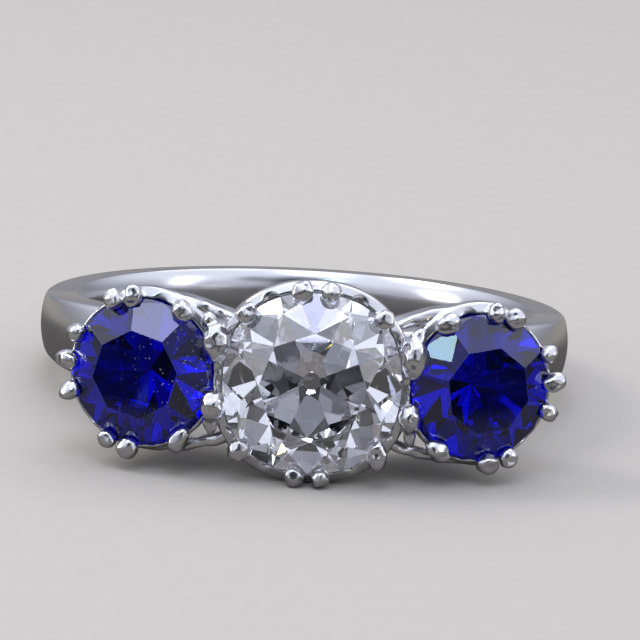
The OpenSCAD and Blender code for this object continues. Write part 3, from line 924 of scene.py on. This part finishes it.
def cut_sapphire(name, finish):
    """Blue sapphire, cut and polished: deep blue that the stone's own depth makes darker, with some dust."""
    material, tree = new_material(name)
    place = add_node(tree, "ShaderNodeTexCoord").outputs["Object"]
    zones = add_node(
        tree, "ShaderNodeTexNoise", inputs={"Vector": place, "Scale": 1 / (1.8 * MM), "Detail": 1.0}
    ).outputs["Fac"]
    tone = add_node(tree, "ShaderNodeMix", {"data_type": "RGBA"}, {
        "Factor": zones, MIX_A: linear("#D6DEFF"), MIX_B: linear("#8C9CFF"),
    }).outputs[MIX_COLOUR]
    shader = add_node(tree, "ShaderNodeBsdfPrincipled", inputs={
        "Base Color": tone, "Roughness": 0.0, "IOR": SAPPHIRE_IOR, "Transmission Weight": 1.0,
    })
    # Dust specks some 0.04 mm across, coarser than most real dust so that they show
    specks = add_node(
        tree, "ShaderNodeTexVoronoi", inputs={"Vector": place, "Scale": 1 / (0.17 * MM)}
    ).outputs["Distance"]
    speck = add_node(tree, "ShaderNodeMapRange", inputs={
        "Value": specks, "From Min": 0.08, "From Max": 0.17, "To Min": 0.7, "To Max": 0.0,
    }).outputs["Result"]
    away = add_node(tree, "ShaderNodeVectorMath", {"operation": "DISTANCE"}, {0: place, 1: DUST_PLACE})
    dusty = add_node(tree, "ShaderNodeMapRange", inputs={
        "Value": away.outputs["Value"], "From Min": 0.5 * MM, "From Max": 2.4 * MM,
        "To Min": 1.0, "To Max": 0.1,
    }).outputs["Result"]
    share = add_node(tree, "ShaderNodeMath", {"operation": "MULTIPLY"}, {0: speck, 1: dusty})
    dust = add_node(tree, "ShaderNodeBsdfPrincipled", inputs={
        "Base Color": linear("#C9CCE2"), "Roughness": 0.9,
    })
    both = add_node(tree, "ShaderNodeMixShader", inputs={
        "Fac": share.outputs[0], 1: shader.outputs["BSDF"], 2: dust.outputs["BSDF"],
    })
    depth = add_node(tree, "ShaderNodeVolumeAbsorption", inputs={
        "Color": (*finish.sapphire_blue, 1), "Density": 1250.0,
    })
    add_node(tree, "ShaderNodeOutputMaterial", inputs={
        "Surface": both.outputs["Shader"], "Volume": depth.outputs["Volume"],
    })
    return material


# Painted shade: colours darker than the board itself that it shows to every ray but the camera's, so that the
# ring's reflections of it and the light it bounces onto the ring are painted darker, from far in front to
# behind: place along Y in millimetres and colour
PAINTED_SHADE_ALONG_Y = [
    (-40, "#202020"),
    (-24, "#7E7A72"),
    (-11, "#7E7A72"),
    (-4, "#54514B"),
    (9, "#54514B"),
    (16, "#8E897D"),
]


def studio_floor(name, colour):
    """Matt painted board: pale and even to the camera, with a faint grain. Every other ray sees it darker
    along Y, which paints dark reflections and shade on the ring.
    """
    material, tree = new_material(name)
    place = add_node(tree, "ShaderNodeTexCoord").outputs["Object"]
    grain = add_node(
        tree, "ShaderNodeTexNoise", inputs={"Vector": place, "Scale": 1 / (0.9 * MM), "Detail": 3.0}
    ).outputs["Fac"]
    tone = add_node(tree, "ShaderNodeMix", {"data_type": "RGBA"}, {
        "Factor": grain, MIX_A: shade(colour, 1), MIX_B: shade(colour, 0.95),
    }).outputs[MIX_COLOUR]
    paths = add_node(tree, "ShaderNodeLightPath").outputs
    y = add_node(tree, "ShaderNodeSeparateXYZ", inputs={"Vector": place}).outputs["Y"]
    first, last = PAINTED_SHADE_ALONG_Y[0][0], PAINTED_SHADE_ALONG_Y[-1][0]
    along = add_node(tree, "ShaderNodeMapRange", inputs={
        "Value": y, "From Min": first * MM, "From Max": last * MM,
    }).outputs["Result"]
    painted_shade_ramp = add_node(tree, "ShaderNodeValToRGB", inputs={"Fac": along})
    stops = painted_shade_ramp.color_ramp.elements
    for i, (at, hex_value) in enumerate(PAINTED_SHADE_ALONG_Y):
        share = (at - first) / (last - first)
        stop = stops.new(share) if 0 < i < len(PAINTED_SHADE_ALONG_Y) - 1 else stops[-1 if i else 0]
        stop.position = share
        stop.color = linear(hex_value)
    # Camera rays see the pale board; every other ray sees the painted shade colours
    seen = add_node(tree, "ShaderNodeMix", {"data_type": "RGBA"}, {
        "Factor": paths["Is Camera Ray"], MIX_A: painted_shade_ramp.outputs["Color"], MIX_B: tone,
    }).outputs[MIX_COLOUR]
    shader = add_node(tree, "ShaderNodeBsdfPrincipled", inputs={
        "Base Color": seen, "Roughness": 0.9, "Specular IOR Level": 0.0,
    })
    add_node(tree, "ShaderNodeOutputMaterial", inputs={"Surface": shader.outputs["BSDF"]})
    return material


class RING_OT_band(bpy.types.Operator):
    """Makes the polished band with its shoulders and the holes under the stones"""

    bl_idname = "ring.band"
    bl_label = "Band"

    def execute(self, context):
        ring = layout(context.scene)
        finish = plain(context.scene.ring_finish)
        metal = cast_platinum(
            "Platinum_polished_band", finish, finish.polish, wear_mm=1.4, grain_mm=0.5, depth=0.1
        )
        ring_piece("shank", band_mesh(ring), "mount", [metal])
        return {"FINISHED"}


# Steps round the band and across each face of it, and the turn in degrees from which an edge stays sharp
BAND_AROUND = 288
BAND_ACROSS = 20
SHARP_TURN = 38
# Radius on which the band's width is worked out, as a share of the finger hole's
MIDDLE_SHARE = 1.08


def band_section(ring, a):
    """Outer face and then inner face of the band in one direction, as radii and heights."""
    b = ring.band
    shift = b.head_extra / 2
    outer_r = ring.finger_r + b.back_t + shift
    full_y = ring.side_y - ring.sapphire_r - ring.stones.head_rise / 2
    y = -ring.finger_r * MIDDLE_SHARE * math.sin(a)
    half = reach(b.back_w / 2, b.shoulder_w / 2, min(max(y / full_y, 0), 1))
    flat = b.back_w / 2 - b.edge
    along = shift * math.sin(a)
    heights = []
    for k in range(BAND_ACROSS + 1):
        z = -half + 2 * half * k / BAND_ACROSS
        heights.append(half * math.sin(math.pi / 2 * z / half))
    outer = []
    for z in heights:
        radius = outer_r - b.dome * (z / (b.shoulder_w / 2)) ** 2
        rounding = max(0, abs(z) - half + b.edge_round)
        radius -= b.edge_round - math.sqrt(b.edge_round ** 2 - rounding ** 2)
        outer.append((-along + math.sqrt(max(0, along ** 2 - shift ** 2 + radius ** 2)), z))
    inner = []
    for z in heights:
        rise = max(0, abs(z) - flat)
        crown = b.inner_crown * (abs(z) / half) ** 3
        inner.append((ring.finger_r + crown + b.inner_lift * (rise / flat) ** 2, -z))
    return outer + inner


def band_mesh(ring):
    """Sweeps the band's domed section round the finger and drills the openings under the stones."""
    bm = bmesh.new()
    turns = [2 * math.pi * i / BAND_AROUND for i in range(BAND_AROUND)]
    loops = [[bm.verts.new(on_circle(a, r, z)) for r, z in band_section(ring, a)] for a in turns]
    count = len(loops[0])
    for i, here in enumerate(loops):
        there = loops[(i + 1) % BAND_AROUND]
        for k in range(count):
            m = (k + 1) % count
            bm.faces.new([here[k], there[k], there[m], here[m]])
    bmesh.ops.recalc_face_normals(bm, faces=bm.faces[:])
    blank = bpy.data.objects.new("shank_blank", finished_mesh("shank", bm))
    drill = bpy.data.objects.new("drill", drill_mesh(ring))
    for made in (blank, drill):
        bpy.context.scene.collection.objects.link(made)
    holes = blank.modifiers.new("holes", "BOOLEAN")
    holes.operation = "DIFFERENCE"
    holes.solver = "EXACT"
    holes.object = drill
    seen = blank.evaluated_get(bpy.context.evaluated_depsgraph_get())
    drilled = bpy.data.meshes.new_from_object(seen)
    for made in (blank, drill):
        bpy.data.objects.remove(made)
    drilled.transform(Matrix.Scale(MM, 4) @ ring.at_rest)
    keep_in_box(drilled)
    drilled.polygons.foreach_set("use_smooth", np.ones(len(drilled.polygons), bool))
    drilled.set_sharp_from_angle(angle=math.radians(SHARP_TURN))
    drilled.name = "shank"
    return drilled


# Length of the drill, and how far its middle lies below a collet's foot, in millimetres
DRILL_LENGTH = 3.4
DRILL_DROP = 1.2


def drill_mesh(ring):
    """Three rods that stand where the collets are open to the finger hole."""
    bm = bmesh.new()
    for side in (-1, 0, 1):
        radius = ring.head.side_hole_r if side else ring.head.centre_hole_r
        depth = ring.side_depth if side else ring.centre_depth
        place = ring.at_head(side) @ Matrix.Translation((0, 0, -depth - DRILL_DROP))
        bmesh.ops.create_cone(
            bm, cap_ends=True, segments=64, radius1=radius, radius2=radius, depth=DRILL_LENGTH, matrix=place
        )
    bmesh.ops.recalc_face_normals(bm, faces=bm.faces[:])
    return finished_mesh("drill", bm)


class RING_OT_heads(bpy.types.Operator):
    """Makes the three claw set heads: collets, claws, shared claws and rails"""

    bl_idname = "ring.heads"
    bl_label = "Heads"

    def execute(self, context):
        ring = layout(context.scene)
        finish = plain(context.scene.ring_finish)
        metal = cast_platinum(
            "Platinum_worn_heads", finish, finish.head_polish, wear_mm=0.6, grain_mm=0.22, depth=0.35
        )
        stones = {0: (diamond_planes(ring), ring.diamond_r)}
        for side, turned in SAPPHIRES.values():
            stones[side] = (sapphire_planes(ring, turned), ring.round_r)
        for side, name in ((0, "centre_head"), (-1, "left_head"), (1, "right_head")):
            block = side_block(ring, finish, side) if side else centre_block(ring, finish)
            here = ring.at_side(side)
            for other, (planes, edge_of) in stones.items():
                clear_stone(block, ring, planes, edge_of, ring.at_side(other).inverted() @ here)
            clear_finger(block, ring, here, ring.head.side_hole_r if side else ring.head.centre_hole_r)
            ring_piece(name, block.mesh(name, ring.at_rest @ here), "mount", [metal])
        return {"FINISHED"}


class RING_OT_diamond(bpy.types.Operator):
    """Makes the old cut diamond with its open culet"""

    bl_idname = "ring.diamond"
    bl_label = "Diamond"

    def execute(self, context):
        ring = layout(context.scene)
        s = ring.stones
        mesh = cut_stone(
            "old_cut_diamond", ring.diamond_r, diamond_planes(ring), s.diamond_crown, s.diamond_pavilion,
            s.facet_edge,
        )
        mesh.transform(Matrix.Scale(MM, 4) @ ring.at_rest @ ring.at_head(0))
        edges = worn_facet_edge("Diamond_worn_edges", "#F4F6FF", DIAMOND_IOR)
        ring_piece(
            "old_cut_diamond", mesh, "centre_diamond", [cut_diamond("Diamond_hand_cut"), edges]
        )
        return {"FINISHED"}


# How many times finer the sapphires' worn facet edges are than the diamond's
FINER_EDGES = 3


class RING_OT_sapphires(bpy.types.Operator):
    """Makes the two round sapphires"""

    bl_idname = "ring.sapphires"
    bl_label = "Sapphires"

    def execute(self, context):
        ring = layout(context.scene)
        finish = plain(context.scene.ring_finish)
        s = ring.stones
        materials = [
            cut_sapphire("Sapphire_cut_blue", finish),
            worn_facet_edge("Sapphire_worn_edges", "#2C3C9C", SAPPHIRE_IOR),
        ]
        for name, (side, turned) in SAPPHIRES.items():
            mesh = cut_stone(
                name + "_cut_sapphire", ring.round_r, sapphire_planes(ring, turned),
                s.sapphire_crown, s.sapphire_pavilion, s.facet_edge / FINER_EDGES,
            )
            mesh.transform(Matrix.Scale(MM, 4) @ ring.at_rest @ ring.at_side(side))
            if side < 0:
                mesh.flip_normals()
            ring_piece(name + "_cut_sapphire", mesh, name + "_sapphire", materials)
        return {"FINISHED"}


class RING_OT_stage(bpy.types.Operator):
    """Sets the floor, the camera and the soft lights"""

    bl_idname = "ring.stage"
    bl_label = "Stage"

    def execute(self, context):
        ring = layout(context.scene)
        studio = plain(context.scene.ring_studio)
        bm = bmesh.new()
        bmesh.ops.create_circle(bm, cap_ends=True, segments=128, radius=studio.floor_r * MM)
        floor = bpy.data.objects.new("floor", finished_mesh("floor", bm))
        context.scene.collection.objects.link(floor)
        # The floor looks pale to the camera and paints shade and dark reflections on the ring for every other
        # ray
        floor.data.materials.append(studio_floor("Board_matt_pale_with_painted_shade", studio.floor))
        set_camera(context.scene, ring, studio)
        set_lights(context.scene)
        set_room(context.scene)
        context.scene.view_settings.view_transform = "Standard"
        context.scene.cycles.max_bounces = 20
        context.scene.cycles.glossy_bounces = 12
        context.scene.cycles.transmission_bounces = 20
        context.scene.cycles.transparent_max_bounces = 8
        return {"FINISHED"}


# Point that the camera looks at, in millimetres, as the ring stands before it is laid down
CAMERA_AIM = (0.18, -12, 2.2)


def set_camera(scene, ring, studio):
    """Puts the camera where the ring is seen from, over the floor and a little rolled."""
    az = studio.view_azimuth
    el = studio.view_elevation
    roll = studio.view_roll
    back = Vector((math.sin(az) * math.cos(el), -math.cos(az) * math.cos(el), math.sin(el)))
    right = Vector((math.cos(az), math.sin(az), 0))
    up = back.cross(right)
    if up.z < 0:
        up = -up
    side = math.cos(roll) * right + math.sin(roll) * up
    top = -math.sin(roll) * right + math.cos(roll) * up
    eye = Vector(CAMERA_AIM) + back * studio.view_distance
    turned = ring.at_rest.to_3x3()
    axes = Matrix((turned @ side, turned @ top, turned @ back)).transposed().to_4x4()
    camera = bpy.data.objects.new("camera", bpy.data.cameras.new("camera"))
    scene.collection.objects.link(camera)
    camera.matrix_world = Matrix.Translation(ring.at_rest @ eye * MM) @ axes
    camera.data.lens = studio.lens
    camera.data.sensor_width = 36
    camera.data.clip_start = 0.005
    camera.data.clip_end = 10
    scene.camera = camera


# Soft lights: name, place and aim in millimetres, width, height, brightness and colour
LIGHTS = [
    ("key", (-130, 10, 150), (0, -8, 3), 60, 60, 9.0, "#FFFCF4"),
    ("front_top", (-15, -85, 175), (0, -10, 3), 75, 70, 4.6, "#C6CBF4"),
    ("overhead", (40, 60, 180), (0, 0, 3), 190, 150, 1.35, "#F4F4FF"),
    ("left", (-190, -30, 45), (0, -8, 3), 60, 70, 4.5, "#FFFFFF"),
    ("right", (180, -60, 70), (0, -8, 3), 45, 80, 2.8, "#F6FAFF"),
    ("warm", (90, -160, 25), (0, -12, 4), 8, 8, 9.0, "#FFE36A"),
    ("cool", (-54.7, -147.2, 122.9), (0, -12, 4), 20, 20, 8.0, "#C8F2FF"),
]


def set_lights(scene):
    """Hangs the soft boxes."""
    for name, place, aim, width, height, brightness, colour in LIGHTS:
        data = bpy.data.lights.new(name, "AREA")
        data.shape = "RECTANGLE"
        data.size = width * MM
        data.size_y = height * MM
        data.energy = brightness * math.pi * width * height * MM * MM
        data.color = linear(colour)[:3]
        light = bpy.data.objects.new(name, data)
        light.location = Vector(place) * MM
        way = (Vector(aim) - Vector(place)).normalized()
        light.rotation_euler = way.to_track_quat("-Z", "Y").to_euler()
        scene.collection.objects.link(light)


# Dark cards round the lens and to its right, which the stones show, and a grey one behind the ring, which
# the back of the band shows: direction, the angles from it in degrees at which it is darkest and at which
# it ends, and the share of the light that it leaves
CARDS = [
    ((-0.03, -0.913, 0.407), 12, 26, 0.02),
    ((0.424, -0.765, 0.485), 5, 11, 0.3),
    ((0, 0.78, 0.63), 20, 60, 0.6),
]


def set_room(scene):
    """Pale room, brightest overhead, with its dark cards."""
    world = bpy.data.worlds.new("room")
    scene.world = world
    world.use_nodes = True
    tree = world.node_tree
    tree.nodes.clear()
    way = add_node(tree, "ShaderNodeTexCoord").outputs["Generated"]
    parts = add_node(tree, "ShaderNodeSeparateXYZ", inputs={"Vector": way}).outputs
    level = add_node(tree, "ShaderNodeMapRange", {"interpolation_type": "SMOOTHSTEP"}, {
        "Value": parts["Z"], "From Min": -0.05, "From Max": 0.55, "To Min": 0.4, "To Max": 1.4,
    }).outputs["Result"]
    for direction, dark, clear, left in CARDS:
        card = add_node(tree, "ShaderNodeVectorMath", {"operation": "DOT_PRODUCT"}, {0: way, 1: direction})
        open_part = add_node(tree, "ShaderNodeMapRange", {"interpolation_type": "SMOOTHSTEP"}, {
            "Value": card.outputs["Value"], "From Min": math.cos(math.radians(clear)),
            "From Max": math.cos(math.radians(dark)), "To Min": 1.0, "To Max": left,
        }).outputs["Result"]
        level = add_node(
            tree, "ShaderNodeMath", {"operation": "MULTIPLY"}, {0: level, 1: open_part}
        ).outputs[0]
    sky = add_node(tree, "ShaderNodeBackground", inputs={"Color": linear("#DFE3F3"), "Strength": level})
    add_node(tree, "ShaderNodeOutputWorld", inputs={"Surface": sky.outputs["Background"]})


class RING_PT_panel(bpy.types.Panel):
    """Lists the steps that make the ring"""

    bl_idname = "RING_PT_panel"
    bl_label = "Three stone ring"
    bl_space_type = "VIEW_3D"
    bl_region_type = "UI"
    bl_category = "Ring"

    def draw(self, context):
        for operator in OPERATORS:
            self.layout.operator(operator.bl_idname)


GROUPS = {
    "ring_band": RingBandSizes,
    "ring_stones": RingStoneSizes,
    "ring_head": RingHeadSizes,
    "ring_finish": RingFinish,
    "ring_studio": RingStudio,
}
OPERATORS = [RING_OT_stage, RING_OT_band, RING_OT_heads, RING_OT_diamond, RING_OT_sapphires]


def register():
    """Registers the property groups, the operators and the panel."""
    for name, group in GROUPS.items():
        bpy.utils.register_class(group)
        setattr(bpy.types.Scene, name, PointerProperty(type=group))
    for operator in OPERATORS:
        bpy.utils.register_class(operator)
    bpy.utils.register_class(RING_PT_panel)


def unregister():
    """Takes them away again, in reverse."""
    bpy.utils.unregister_class(RING_PT_panel)
    for operator in reversed(OPERATORS):
        bpy.utils.unregister_class(operator)
    for name, group in GROUPS.items():
        delattr(bpy.types.Scene, name)
        bpy.utils.unregister_class(group)


def main():
    """Makes the stage and the ring."""
    register()
    bpy.ops.ring.stage()
    bpy.ops.ring.band()
    bpy.ops.ring.heads()
    bpy.ops.ring.diamond()
    bpy.ops.ring.sapphires()
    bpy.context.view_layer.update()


if __name__ == "__main__":
    main()
